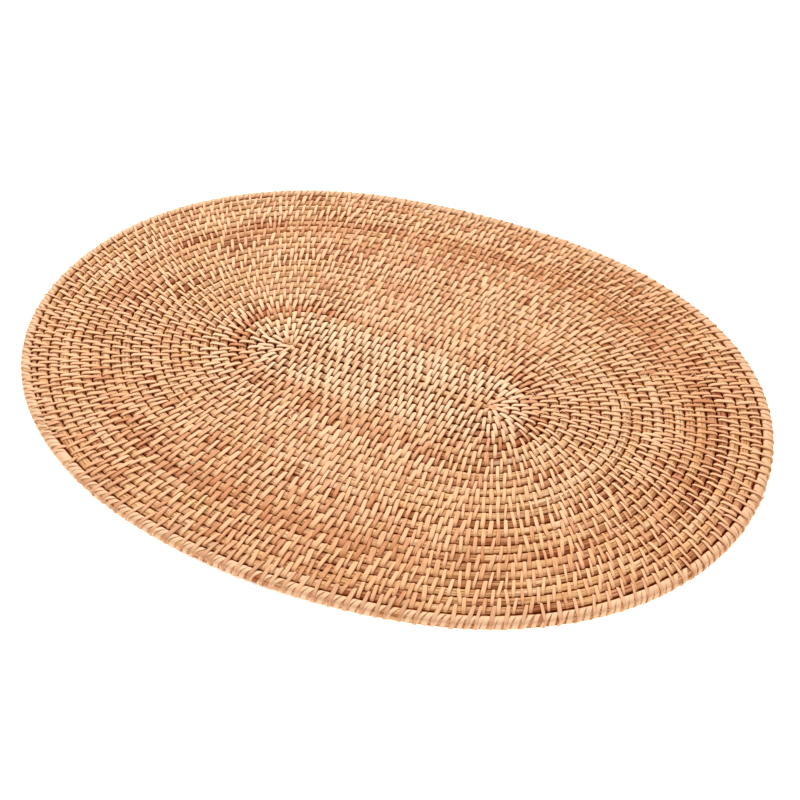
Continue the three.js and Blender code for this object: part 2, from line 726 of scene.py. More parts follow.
EDGE_PEEL = PeelFinish(
    dark=(0.64, 0.34, 0.19),
    peach=(0.81, 0.49, 0.295),
    straw=(0.88, 0.59, 0.38),
    # Colour of the painted shade along each wrap's edges.
    rim=(0.62, 0.42, 0.31),
    fibres=0.8,
    relief=0.6,
)


class Waver(NamedTuple):
    """How the cane's tone wavers along it: swells to the metre, their make, and their strength."""

    scale: float
    detail: float
    coarseness: float
    strength: float


@dataclass(frozen=True)
class CaneFinish(Finish):
    """Round core cane: honey to red-brown in long runs, with fine grain lengthways."""

    red: Colour = (0.42, 0.14, 0.05)
    brown: Colour = (0.58, 0.29, 0.15)
    honey: Colour = (0.72, 0.42, 0.23)
    amber: Colour = (0.76, 0.45, 0.20)
    straw: Colour = (0.84, 0.60, 0.39)
    # The colour of the cane's painted shade in the grooves.
    groove_shade: Colour = (0.26, 0.055, 0.003)
    pore: Colour = (0.55, 0.38, 0.28)
    pores: tuple[float, float] = (0.38, 0.52)
    tones_at: tuple[float, ...] = (0.0, 0.25, 0.5, 0.72, 1.0)
    usual_tone: float = 0.5
    wavers: tuple[Waver, ...] = (Waver(24.0, 2.0, 0.65, 1.9), Waver(2.6, 1.0, 0.5, 1.0))
    grain_strength: float = 0.7
    along: float = 30.0
    around: float = 2.8
    roughness: float = 0.6
    gloss: float = 0.15
    relief: float = 0.5

    def build(self, name: str) -> Material:
        """Makes the material.

        Args:
            name: the material's name.

        Returns:
            The material.
        """
        paint = Paint(name)
        run = paint.attribute("run")
        around = paint.times(paint.attribute("around"), TURN)
        place = paint.combined(
            X=paint.times(run, self.along),
            Y=paint.times(paint.math("COSINE", around), self.around),
            Z=paint.times(paint.math("SINE", around), self.around),
        )
        grain = self.lines(paint, place, 1.0)
        tone = paint.plus(paint.attribute("shade"), self.usual_tone)
        for waver in self.wavers:
            noise = paint.noise(
                "1D", W=run, Scale=waver.scale, Detail=waver.detail, Roughness=waver.coarseness
            )
            tone = paint.plus(tone, paint.wavered(noise, waver.strength))
        tone = paint.plus(tone, paint.wavered(grain, self.grain_strength))
        colours = (self.red, self.brown, self.honey, self.amber, self.straw)
        colour = paint.ramp(tone, tuple(zip(self.tones_at, colours)))
        pores = paint.ranged(grain, self.pores, (1.0, 0.0))
        return self.dress(paint, paint.tinted(colour, (*self.pore, 1), pores), grain)


# ---- meshes from arrays


def mesh_from(
    name: str, points: Array, edges: Sequence = (), faces: Sequence[Face] = (), **numbers: Array
) -> Mesh:
    """Makes a mesh with named attributes on its points.

    Args:
        name: the mesh's name.
        points: an (n, 3) array in metres.
        edges: pairs of point numbers.
        faces: corner lists of the faces.
        numbers: an array of numbers or of vectors for each attribute.

    Returns:
        The mesh.
    """
    mesh = bpy.data.meshes.new(name)
    mesh.from_pydata(points.tolist(), [tuple(map(int, edge)) for edge in edges], list(faces))
    for label, values in numbers.items():
        values = np.asarray(values, np.float32)
        vector = values.ndim == 2
        layer = mesh.attributes.new(label, "FLOAT_VECTOR" if vector else "FLOAT", "POINT")
        layer.data.foreach_set("vector" if vector else "value", values.ravel())
    return mesh


def strip_faces(sections: int, corners: int) -> list[Face]:
    """Faces of a strip made of like sections, closed at both ends.

    Args:
        sections: how many sections it has.
        corners: how many corners each has.

    Returns:
        The faces' corner lists.
    """
    faces = []
    for i in range(0, (sections - 1) * corners, corners):
        for k in range(corners):
            m = (k + 1) % corners
            faces.append((i + k, i + m, i + corners + m, i + corners + k))
    last = (sections - 1) * corners
    return [*faces, tuple(range(corners))[::-1], tuple(range(last, last + corners))]


def facing_out(points: Array, faces: list[Face]) -> list[Face]:
    """Turns a closed shape's faces round if they point inwards.

    Args:
        points: the shape's points.
        faces: its faces.

    Returns:
        The faces, pointing outwards.
    """
    volume = 0.0
    for face in faces:
        for i in range(1, len(face) - 1):
            a, b, c = points[face[0]], points[face[i]], points[face[i + 1]]
            volume += float(np.dot(a, np.cross(b, c)))
    return faces if volume > 0 else [face[::-1] for face in faces]


def lifted(points: Array, height: float = 0.0) -> Array:
    """Plan points as points in space at one height."""
    return np.concatenate([points, np.full((len(points), 1), height)], axis=1)


# ---- how the spiral varies


def through(turns: Array, rounds: tuple[float, float]) -> Array:
    """How far turns are from the first to the last of some rounds, from 0 to 1."""
    return np.clip((turns - rounds[0]) / np.ptp(rounds), 0, 1)


def fading(distance: Array, reach: float, power: int = 2) -> Array:
    """What is left at a distance: 1 at none, and next to nothing well past the reach."""
    return np.exp(-((distance / reach) ** power))


def endness(turns: Array) -> Array:
    """How near turns are to the mat's ends, from 0 at its long sides to 1."""
    return np.cos(turns * TURN) ** 2


@dataclass(frozen=True)
class Press:
    """How the binding presses round cane towards a square, less so in the mat's middle."""

    roundest: float = 2.25
    flattest: float = 3.2
    flat_rounds: tuple[float, float] = (4, 10)
    end_flatness: float = 0.6

    def flatness(self, turns: Array) -> Array:
        """How flat the rounds are pressed, from 0 in the mat's middle to 1 along its sides."""
        outside = through(turns, self.flat_rounds)
        return outside * (self.end_flatness + (1 - self.end_flatness) * np.sin(turns * TURN) ** 2)

    def squareness(self, flat: Array) -> Array:
        """The power of the section's curve, at a flatness from 0 to 1."""
        return self.roundest + (self.flattest - self.roundest) * flat

    @staticmethod
    def corner(angle: float, power: float) -> tuple[float, float]:
        """A point of a circle of radius 1 that is pressed towards a square.

        Args:
            angle: the direction from the middle to the point, in radians.
            power: the power of the section's curve.

        Returns:
            How far the point is across, and up.
        """
        across, up = math.cos(angle), math.sin(angle)
        out = (abs(across) ** power + abs(up) ** power) ** (-1 / power)
        return across * out, up * out


PRESS = Press()


class Stain(NamedTuple):
    """A length of the spiral that is redder than the rest, where its shade is below 0, or paler."""

    turn: float
    length: float
    shade: float
    bleach: float = 0.0

    def swell(self, turns: Array) -> Array:
        """How much of the stain there is at given turns, up to 1."""
        return fading(turns - self.turn, self.length)


STAINS = (
    Stain(0.8, 1.0, -0.2), Stain(2.8, 0.25, -0.25), Stain(2.93, 0.06, -0.7), Stain(3.92, 0.06, -0.7),
    Stain(4.13, 0.09, 0.5), Stain(5.07, 0.09, -1.0), Stain(6.0, 0.09, -0.85), Stain(4.45, 0.15, 0.3),
    Stain(4.9, 0.06, -0.5), Stain(5.38, 0.15, 0.35), Stain(6.16, 0.06, -0.4), Stain(6.48, 0.13, -1.4),
    Stain(6.74, 0.07, -0.4), Stain(7.25, 0.08, 0.35), Stain(7.46, 0.1, -1.2), Stain(7.76, 0.09, -1.0),
    Stain(7.88, 0.1, -0.2, bleach=3.8), Stain(8.68, 0.1, -0.4), Stain(8.85, 0.09, -0.5, bleach=0.8),
    Stain(9.65, 0.14, 0.22), Stain(11.48, 0.08, -0.4), Stain(11.8, 0.12, 0.45), Stain(12.05, 0.14, 0.35),
    Stain(12.6, 0.14, -0.35), Stain(13.03, 0.14, 0.9), Stain(13.72, 0.13, 0.3), Stain(14.02, 0.1, 0.5),
    Stain(15.28, 0.1, -0.35), Stain(15.68, 0.28, -0.95), Stain(16.25, 0.1, -0.3), Stain(17.08, 0.08, 0.4),
    Stain(18.5, 0.06, -0.45), Stain(19.83, 0.05, -0.15), Stain(20.6, 0.08, -0.12), Stain(20.84, 0.05, -0.1),
    Stain(21.36, 0.12, -0.28), Stain(22.08, 0.13, -0.45), Stain(22.36, 0.06, -0.35), Stain(22.75, 0.08, -0.3),
    Stain(23.08, 0.12, -0.45), Stain(23.76, 0.07, -0.3), Stain(24.33, 0.07, 0.35), Stain(23.55, 0.1, 0.35),
    Stain(24.55, 0.1, 0.35),
)


@dataclass(frozen=True)
class Ageing:
    """How the tone of cane and peel changes along the spiral."""

    pale_rounds: float = 5.3
    pale_blur: float = 0.4
    worn: float = 0.8
    worn_rounds: float = 1.9
    worn_everywhere: float = 0.35
    worn_sharpness: int = 4
    greyed: float = 0.4
    greyed_round: float = 8.9
    greyed_rounds: float = 1.5
    greyed_swing: tuple[float, float] = (0.6, 0.4)
    greyed_from: float = TURN / 12
    richness: float = 0.15
    rich_rounds: tuple[float, float] = (18.5, 21.5)
    even_rounds: tuple[float, float] = (9, 13)
    sides_pale: float = 0.16
    sides_bleach: float = 0.12

    def shade(self, turns: Array) -> Array:
        """How much redder, below 0, or paler the rattan is at given turns."""
        return sum(stain.shade * stain.swell(turns) for stain in STAINS)

    def sideness(self, turns: Array) -> Array:
        """How far towards the mat's long sides the outer rounds are, from 0 at its ends to 1."""
        return through(turns, self.even_rounds) * np.sin(turns * TURN) ** 2

    def bleach(self, turns: Array) -> Array:
        """How bleached cane and peel are at given turns.

        Args:
            turns: where along the spiral.

        Returns:
            About 1 in the mat's pale middle, some in a greyed round, and below 0 in the rich outer rounds.
        """
        middle = 1 / (1 + np.exp((turns - self.pale_rounds) / self.pale_blur))
        worn = fading(turns, self.worn_rounds, self.worn_sharpness)
        middle -= self.worn * worn * (self.worn_everywhere + endness(turns))
        greyed = self.greyed * fading(turns - self.greyed_round, self.greyed_rounds)
        mean, swing = self.greyed_swing
        greyed *= mean - swing * np.cos(turns * TURN - self.greyed_from)
        rich = self.richness * through(turns, self.rich_rounds)
        return middle + greyed - rich + self.sides_bleach * self.sideness(turns)

    def cane_shade(self, turns: Array) -> Array:
        """How much redder, below 0, or paler the wound cane is at given turns."""
        return self.shade(turns) + self.sides_pale * self.sideness(turns)

    def cane_bleach(self, turns: Array) -> Array:
        """How bleached the wound cane is at given turns."""
        return self.bleach(turns) + sum(stain.bleach * stain.swell(turns) for stain in STAINS)


AGEING = Ageing()


# ---- the cane


@dataclass(frozen=True)
class Cane:
    """Core cane, pressed against its neighbours by the binding, swept along a route."""

    radius: float = 2.55 * MM
    corners: int = 16
    unevenness: float = 0.02
    evened_over: int = 5
    tall_taper: float = 0.12
    seed: int = 5

    def growth(self) -> Growth:
        """Makes the tree that sweeps a squared section along a line.

        Returns:
            The tree, with an input for the section's corners.
        """
        growth = Growth("cane sweep", Corners="Int")
        bench = growth.bench
        line = bench.feed(bench.node("GeometryNodeMeshToCurve"), Mesh=growth.given("Geometry"))
        circle = bench.node("GeometryNodeCurvePrimitiveCircle")
        bench.feed(circle, Resolution=growth.given("Corners"), Radius=1.0)
        factor = bench.node("GeometryNodeSplineParameter").outputs["Factor"]
        swept = bench.node("GeometryNodeCurveToMesh")
        bench.feed(
            swept,
            Curve=line.outputs[0],
            Profile_Curve=growth.stored(circle.outputs[0], "around", factor),
            Scale=growth.number("thickness"),
            Fill_Caps=True,
        )
        place = bench.node("GeometryNodeInputPosition").outputs[0]
        sideways = growth.vector("sideways")
        from_middle = bench.vectors("SUBTRACT", place, growth.vector("middle")).outputs[0]
        aside = bench.vectors("DOT_PRODUCT", from_middle, sideways).outputs["Value"]
        up = bench.feed(bench.node("ShaderNodeSeparateXYZ"), Vector=from_middle).outputs["Z"]
        inside = bench.math("LESS_THAN", aside, 0.0)
        # The outer half of a closed ring has nothing beside it: it is marked bare, and gets no painted groove
        # shade.
        bare = bench.times(bench.minus(1.0, inside), growth.number("open"))
        out = self._squared(growth, aside, up)
        wider = bench.plus(growth.number("width"), bench.times(inside, growth.number("inner")))
        spread = bench.minus(bench.times(wider, out), 1.0)
        offset = bench.summed(
            bench.scaled(sideways, bench.times(aside, spread)),
            bench.combined(Z=bench.times(up, bench.minus(out, 1.0))),
        )
        growth.dress(growth.moved(growth.stored(swept.outputs[0], "bare", bare), offset))
        return growth

    @staticmethod
    def _squared(growth: Growth, aside: Socket, up: Socket) -> Socket:
        """Works out how far each corner of the section is pressed out.

        Args:
            growth: the tree.
            aside: how far the corner is to the side of the cane's middle.
            up: how far it is above it.

        Returns:
            How many times further from the middle it goes.
        """
        bench = growth.bench
        power = growth.number("squareness")
        shares = (bench.math("DIVIDE", reach, growth.number("thickness")) for reach in (aside, up))
        raised = (bench.math("POWER", bench.math("ABSOLUTE", share), power) for share in shares)
        return bench.math("POWER", bench.plus(*raised), bench.math("DIVIDE", -1.0, power))

    def line(
        self,
        name: str,
        points: Array,
        share: Array,
        halves: tuple[Array, Array],
        flat: Array,
        shade: Array,
        bleach: Array,
        closed: bool,
    ) -> Mesh:
        """Makes the line that the cane is swept along.

        Args:
            name: the line's name.
            points: its points in plan.
            share: how much of the full thickness each point has.
            halves: how far each point's width reaches outwards, and inwards.
            flat: how flat the section is at each point, from 0 to 1.
            shade: how pale each point is.
            bleach: how bleached each point is.
            closed: whether it is a ring.

        Returns:
            A mesh of edges, with each point's thickness and length so far.
        """
        count = len(points)
        edges = [(i, i + 1) for i in range(count - 1)]
        ahead = np.gradient(points, axis=0)
        if closed:
            edges.append((count - 1, 0))
            ahead = np.roll(points, -1, 0) - np.roll(points, 1, 0)
        steps = np.linalg.norm(np.diff(points, axis=0), axis=1)
        wave = np.random.default_rng(self.seed).normal(0, 1, count)
        wave = np.convolve(wave, np.ones(self.evened_over) / self.evened_over, "same")
        tall = self.radius * share**self.tall_taper
        middle = lifted(points, MID_HEIGHT)
        return mesh_from(
            name,
            middle,
            edges,
            thickness=tall * (1 + self.unevenness * wave),
            run=np.concatenate([[0.0], np.cumsum(steps)]),
            middle=middle,
            sideways=lifted(to_right(unit(ahead))),
            width=halves[0] / tall,
            inner=(halves[1] - halves[0]) / tall,
            open=np.full(count, float(closed)),
            squareness=PRESS.squareness(flat),
            shade=shade,
            bleach=bleach,
        )


@dataclass
class CaneWork:
    """The wound cane of the mat, and the cane of its edge."""

    layout: Layout
    cane: Cane = Cane()
    snugness: float = 1.015
    width_taper: float = 0.85
    per_turn: int = 120
    edge_steps: int = 360
    near_turns: float = 0.3
    looked_at: float = 1.25

    def __post_init__(self) -> None:
        """Makes the tree that sweeps the cane."""
        self.growth = self.cane.growth()

    def wound(self, finish: Material) -> Piece:
        """Builds the core cane of the coil.

        Args:
            finish: the cane's finish.

        Returns:
            The wound cane.
        """
        coil = self.layout.coil
        turns = np.arange(0, coil.turns[-1], 1 / self.per_turn)
        halves = self.half_widths(turns)
        line = self.cane.line(
            "cane line",
            coil.point(turns),
            share=self.layout.rounds.share(turns),
            halves=(halves, halves),
            flat=PRESS.flatness(turns),
            shade=AGEING.cane_shade(turns),
            bleach=AGEING.cane_bleach(turns),
            closed=False,
        )
        piece = self.growth.grow(line, "wound_cane", Corners=self.cane.corners, Finish=finish)
        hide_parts("coil")
        return piece

    def edge(self, finish: Material) -> Piece:
        """Builds the core cane of the edge.

        Args:
            finish: the cane's finish.

        Returns:
            The edge cane.
        """
        rounds = self.layout.rounds
        turns = np.arange(self.edge_steps) / self.edge_steps
        points = self.layout.edge.point(turns)
        whole = np.ones(len(turns))
        line = self.cane.line(
            "edge line",
            points,
            share=whole,
            halves=(whole * rounds.edge_width / 2, self.edge_room(points)),
            flat=PRESS.flatness(turns + rounds.edge_turn),
            shade=0 * whole,
            bleach=0 * whole,
            closed=True,
        )
        piece = self.growth.grow(line, "edge_core", Corners=self.cane.corners, Finish=finish)
        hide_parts("edge")
        return piece

    def half_widths(self, turns: Array) -> Array:
        """Half the room that the wound cane has between its neighbours.

        Args:
            turns: where along the cane.

        Returns:
            Half the distance to the next round, or to the one before where the next is missing or
            tapers, and less where the cane itself tapers.
        """
        coil, rounds = self.layout.coil, self.layout.rounds
        halves = []
        for turn in turns:
            whole = min(turn, rounds.taper_start)
            other = whole + 1 if whole + 1 < rounds.taper_start else whole - 1
            point = coil.point(whole)
            near = coil.nearest(point, other - self.near_turns, other + self.near_turns)
            halves.append(np.linalg.norm(coil.point(near) - point) / 2)
        return np.array(halves) * rounds.share(turns) ** self.width_taper * self.snugness

    def edge_room(self, points: Array) -> Array:
        """How far the edge cane can reach inwards before it meets the wound cane.

        Args:
            points: places on the middle of the edge cane.

        Returns:
            The room at each place.
        """
        coil = self.layout.coil
        last = coil.turns[-1]
        turns = np.arange(last - self.looked_at, last, 1 / self.per_turn / 2)
        gaps = np.linalg.norm(points[:, None] - coil.point(turns)[None], axis=2)
        return (gaps - self.half_widths(turns)[None]).min(1)


# ---- the peel


class Bend(NamedTuple):
    """One section of a stitch: over which round, at what angle, and how far on its way to the next."""

    side: float
    angle: float
    onward: float
    breadth: float
    bow: float


STITCH_BENDS = (
    Bend(side=1, angle=0, onward=0, breadth=0.72, bow=0),
    Bend(side=1, angle=28, onward=0, breadth=0.8, bow=0.15),
    Bend(side=1, angle=45, onward=0, breadth=0.9, bow=0.35),
    Bend(side=1, angle=64, onward=0, breadth=0.97, bow=0.6),
    Bend(side=1, angle=90, onward=0, breadth=1, bow=0.85),
    Bend(side=0, angle=90, onward=0, breadth=1, bow=1),
    Bend(side=-1, angle=90, onward=0, breadth=0.95, bow=0.85),
    Bend(side=-1, angle=116, onward=0, breadth=0.88, bow=0.6),
    Bend(side=-1, angle=135, onward=0, breadth=0.8, bow=0.35),
    Bend(side=-1, angle=152, onward=0, breadth=0.7, bow=0.15),
    Bend(side=-1, angle=180, onward=0, breadth=0.6, bow=0),
    Bend(side=-1, angle=225, onward=0.08, breadth=0.9, bow=0),
    Bend(side=-1, angle=270, onward=0.22, breadth=1, bow=0),
    Bend(side=1, angle=270, onward=0.78, breadth=1, bow=0),
    Bend(side=1, angle=315, onward=0.92, breadth=0.9, bow=0),
    Bend(side=1, angle=360, onward=1, breadth=0.8, bow=0),
)

WRAP_BENDS = tuple(
    Bend(side=0, angle=angle, onward=(angle - 180) / 360, breadth=1, bow=0)
    for angle in (180, 208, 225, 244, 270, 296, 315, 332, 360, 388, 405, 424, 450, 476, 495, 512, 540)
)

PEEL_SECTION = ((-1.0, 0.0), (-0.92, 0.8), (0.0, 1.0), (0.92, 0.8), (1.0, 0.0))


@dataclass(frozen=True)
class Peel:
    """Flat split peel, bent round one round of cane or two."""

    breadth: float = 2.3 * MM
    thickness: float = 0.5 * MM
    half_width: float = 2.8 * MM
    half_height: float = 2.5 * MM
    span: float = 6.1 * MM
    arm_step: int = 5
    crisp_from: float = 0.75

    def strip(self, name: str, bends: Sequence[Bend], bare_from: float = math.inf) -> Piece:
        """Makes one stitch, to be repeated.

        Args:
            name: the stitch's name.
            bends: its sections in order.
            bare_from: how far out from its middle nothing lies against it, so that no groove shade is painted
                there.

        Returns:
            An object that is not part of the scene, with the stitch as its mesh.
        """
        points = []
        marks = {mark: [] for mark in ("reach", "onward", "across", "bow", "run", "bare", "spread", "rise")}
        run = 0.0
        last = None
        arm = self.arm()
        for bend in bends:
            foot = self._foot(bend, PRESS.roundest, 0)
            run += 0.0 if last is None else (foot - last).length
            last = foot
            for across, lift in PEEL_SECTION:
                point = self._foot(bend, PRESS.roundest, lift)
                flatter = self._foot(bend, PRESS.flattest, lift) - point
                points.append((point.x, across * self.breadth / 2 * bend.breadth, point.z))
                under = point.x / (self.span / 2 + self.half_width) * arm
                marks["reach"].append(under if bend.angle > 180 else arm - run)
                marks["onward"].append(bend.onward)
                marks["across"].append(across)
                marks["bow"].append(bend.bow)
                marks["run"].append(run)
                # Bare parts get no painted groove shade.
                marks["bare"].append(point.x >= bare_from)
                marks["spread"].append(flatter.x)
                marks["rise"].append(flatter.z)
        corners = np.array(points)
        faces = facing_out(corners, strip_faces(len(bends), len(PEEL_SECTION)))
        return bpy.data.objects.new(name, mesh_from(name, corners, faces=faces, **marks))

    def _foot(self, bend: Bend, power: float, lift: float) -> Vector:
        """A point of a section of a stitch, over its middle line.

        Args:
            bend: the section.
            power: how square the cane under it is.
            lift: its height in the peel, from 0 at the cane to 1 on top.

        Returns:
            The point.
        """
        over, up = PRESS.corner(math.radians(bend.angle), power)
        away = Vector((
            math.copysign(abs(over) ** (power - 1) / self.half_width, over),
            0,
            math.copysign(abs(up) ** (power - 1) / self.half_height, up),
        )).normalized()
        middle = Vector((bend.side * self.span / 2, 0, MID_HEIGHT))
        foot = middle + Vector((self.half_width * over, 0, self.half_height * up))
        return foot + away * self.thickness * lift

    def arm(self) -> float:
        """Measures the peel from the middle of a stitch, over the cane, to where it goes down.

        Returns:
            Its length.
        """
        angles = range(0, 91, self.arm_step)
        quarter = [PRESS.corner(math.radians(angle), PRESS.roundest) for angle in angles]
        corners = [Vector((self.half_width * x, self.half_height * z)) for x, z in quarter]
        return self.span / 2 + sum((b - a).length for a, b in zip(corners, corners[1:]))

    def growth(self) -> Growth:
        """Makes the tree that lays a stitch at each point, leant and carried on to the next.

        Returns:
            The tree, with inputs for the strip, its breadth and slack, and the seed that draws them.
        """
        growth = Growth(
            "peel stitches",
            Strip="Object",
            Least_Breadth="Float",
            Most_Breadth="Float",
            Least_Slack="Float",
            Most_Slack="Float",
            Seed="Int",
        )
        bench = growth.bench
        given = growth.given
        breadth = growth.random(given("Least Breadth"), given("Most Breadth"), given("Seed"))
        slack = growth.random(given("Least Slack"), given("Most Slack"), bench.plus(given("Seed"), 1.0))
        up = bench.node("FunctionNodeInputVector")
        up.vector = (0, 0, 1)
        outward = growth.vector("outward")
        turned = bench.node("FunctionNodeAxesToRotation", primary_axis="X", secondary_axis="Z")
        strip = bench.feed(bench.node("GeometryNodeObjectInfo"), Object=given("Strip"))
        laid = bench.node("GeometryNodeInstanceOnPoints")
        bench.feed(
            laid,
            Points=growth.stored(given("Geometry"), "slack", slack),
            Instance=strip.outputs["Geometry"],
            Rotation=bench.feed(turned, Primary_Axis=outward, Secondary_Axis=up.outputs[0]).outputs[0],
            Scale=bench.combined(
                X=growth.number("stretch"), Y=bench.times(breadth, growth.number("broad")), Z=1.0
            ),
        )
        real = bench.feed(bench.node("GeometryNodeRealizeInstances"), Geometry=laid.outputs[0])
        leant = bench.times(growth.number("lean"), bench.times(growth.number("reach"), -1.0))
        arched = bench.times(growth.number("bow"), growth.number("loft"))
        flat = growth.number("flat")
        raised = bench.plus(
            bench.times(growth.number("slack"), arched), bench.times(flat, growth.number("rise"))
        )
        offset = bench.summed(
            bench.scaled(growth.vector("along"), leant),
            bench.scaled(growth.vector("to_next"), growth.number("onward")),
            bench.scaled(outward, bench.times(flat, growth.number("spread"))),
            bench.scaled(up.outputs[0], raised),
        )
        angle = bench.node("GeometryNodeInputMeshEdgeAngle").outputs["Unsigned Angle"]
        crisp = bench.node("GeometryNodeSetShadeSmooth", domain="EDGE")
        bench.feed(
            crisp,
            Geometry=growth.moved(real.outputs[0], offset),
            Selection=bench.math("GREATER_THAN", angle, self.crisp_from),
            Shade_Smooth=False,
        )
        growth.dress(crisp.outputs[0])
        return growth


@dataclass
class Places:
    """Where a run of stitches crosses its two rounds, in the order in which they are laid."""

    middle: Array
    outward: Array
    span: Array
    lean: Array
    tone: Array
    broad: Array
    loft: Array
    flat: Array
    bleach: Array

    def part(self, first: int, after: int) -> "Places":
        """The places of some of the stitches."""
        return Places(**{spot.name: getattr(self, spot.name)[first:after] for spot in fields(self)})

    def seeds(self, name: str, peel: Peel) -> Mesh:
        """Makes the points that the stitches grow from.

        Args:
            name: the mesh's name.
            peel: the peel that they are made of.

        Returns:
            A mesh of points with each stitch's directions, lean and way to the next.
        """
        along = -to_right(self.outward)
        stretch = self.span / peel.span
        reach = stretch * (peel.span / 2 + peel.half_width)
        foot = self.middle + self.outward * reach[:, None] - along * (self.lean * peel.arm())[:, None]
        to_next = np.diff(foot, axis=0, append=2 * foot[-1:] - foot[-2:-1])
        same = ("lean", "tone", "broad", "loft", "flat", "bleach")
        return mesh_from(
            name,
            lifted(self.middle),
            outward=lifted(self.outward),
            along=lifted(along),
            to_next=lifted(to_next),
            stretch=stretch,
            **{label: getattr(self, label) for label in same},
        )


@dataclass(frozen=True)
class Weave:
    """The maker's way of placing stitches: each goes between two stitches of the round before."""

    start_turns: float = 0.5
    first_turn: float = 0.53
    first_until: float = 0.995
    first_spacing: float = 6.0 * MM
    first_play: tuple[float, float] = (0.92, 1.08)
    beside: tuple[float, float] = (0.7, 1.3)
    round_left: float = 0.98
    measured_over: float = 0.002
    widest_gap: float = 10.2 * MM
    narrowest_gap: float = 3.9 * MM
    split: float = 0.28
    wander: float = 0.33 * MM
    side_lean: float = 1
    end_lean: float = 13
    skew: float = 1.6
    right_lean: float = 6
    right_at: float = 5
    right_narrowness: int = 12
    outer_lean: float = 4
    outer_rounds: tuple[float, float] = (19, 23)
    lean_wander: float = 3
    middle_turned: float = 4
    middle_pale: float = 0.15
    stained: float = 0.28
    usual_tone: float = 0.5
    tone_wander: float = 0.11
    loft: float = 0.9
    tip_share: float = 0.4
    tip_reach: float = 2 * MM
    tip_rounds: float = 1.6
    outer_dark: float = 0.05
    ends_pale: float = 0.1
    sides_dark: float = 0.15
    pale_rounds: float = 8.0
    broad_rounds: float = 4.5
    middle_broad: float = 0.1
    sides_broad: float = 0.16
    ends_fine: float = 0.2
    drift: float = 0.5 * MM
    strip_stitches: tuple[int, int] = (50, 170)
    strip_tone: float = 0.13
    strip_breadth: float = 0.09
    seed: int = 11

    def marks(self, coil: Route, last: float) -> list[float]:
        """Places the stitches along the wound cane.

        Args:
            coil: the wound cane's route.
            last: the last turn that takes a stitch.

        Returns:
            The turn of each stitch, on the outer of its two rounds.
        """
        rng = np.random.default_rng(self.seed)
        marks: list[float] = []
        length = float(coil.length(self.first_turn))
        while coil.turn(length) < self.first_until:
            marks.append(float(coil.turn(length)))
            length += self.first_spacing * rng.uniform(*self.first_play)
        carried = [coil.nearest(coil.point(1 - mark), 1, 1 + self.start_turns) for mark in reversed(marks)]
        carried += [self._outside(coil, mark) for mark in marks]
        k = 0
        while k + 1 < len(carried):
            start, end = coil.length(carried[k]), coil.length(carried[k + 1])
            for length in self.between(float(start), float(end)):
                turn = float(coil.turn(length + rng.normal(0, self.wander)))
                turn -= self.drift * endness(turn) / float(self._per_turn(coil, turn))
                if turn > last:
                    return marks
                if turn > marks[-1]:
                    marks.append(turn)
                    if turn + self.round_left < coil.turns[-1]:
                        carried.append(self._outside(coil, turn))
            k += 1
        return marks

    def _outside(self, coil: Route, turn: float) -> float:
        """The turn at which the next round out passes a stitch."""
        return coil.nearest(coil.point(turn), turn + self.beside[0], turn + self.beside[1])

    def _per_turn(self, route: Route, turn: float) -> float:
        """Length of route per turn at a turn."""
        step = self.measured_over
        return (route.length(turn + step) - route.length(turn - step)) / (2 * step)

    def between(self, start: float, end: float) -> list[float]:
        """Places stitches in one gap: one in its middle, or two in a wide one.

        Args:
            start: the length at which the gap starts.
            end: the length at which it ends.

        Returns:
            The length at which each stitch goes in.
        """
        gap = end - start
        if gap < self.narrowest_gap:
            return []
        if gap > self.widest_gap:
            return [start + self.split * gap, end - self.split * gap]
        return [start + gap / 2]

    def leans(self, turns: Array, rng: np.random.Generator) -> Array:
        """Slopes of the stitches, from nearly straight at the sides to leant at the ends.

        Args:
            turns: the turn of each stitch.
            rng: where the wander of each comes from.

        Returns:
            The slope of each stitch.
        """
        bearings = turns * TURN
        ends = endness(turns)
        outer = through(turns, self.outer_rounds)
        degrees = self.side_lean + (self.end_lean - self.side_lean) * ends
        degrees += self.outer_lean * outer * (1 - ends) - self.skew * np.sin(2 * bearings)
        right = np.maximum(np.cos(bearings - math.radians(self.right_at)), 0)
        degrees -= self.right_lean * right**self.right_narrowness
        degrees -= self.middle_turned * self.nearness(turns)
        return np.tan(np.radians(degrees + rng.normal(0, self.lean_wander, len(turns))))

    def coil_places(self, coil: Route, marks: list[float]) -> Places:
        """Works out where each stitch of the wound cane lies.

        Args:
            coil: the wound cane's route.
            marks: the turn of each stitch.

        Returns:
            The stitches' places.
        """
        rng = np.random.default_rng(self.seed + 1)
        near, far = self.beside
        turns = np.array(marks)
        outer = coil.point(turns)
        inner_turns = [
            coil.nearest(point, max(turn - far, 0), turn - near)
            if turn >= 1
            else coil.nearest(point, 0, self.start_turns)
            for point, turn in zip(outer, marks)
        ]
        inner = coil.point(np.array(inner_turns))
        tips = coil.point(np.array([0, self.start_turns]))
        from_tip = np.linalg.norm(inner[:, None] - tips[None], axis=2).min(1)
        kept_out = self.tip_share * fading(from_tip, self.tip_reach) * (turns < self.tip_rounds)
        return self.places(outer, inner + (outer - inner) * kept_out[:, None], turns, rng)

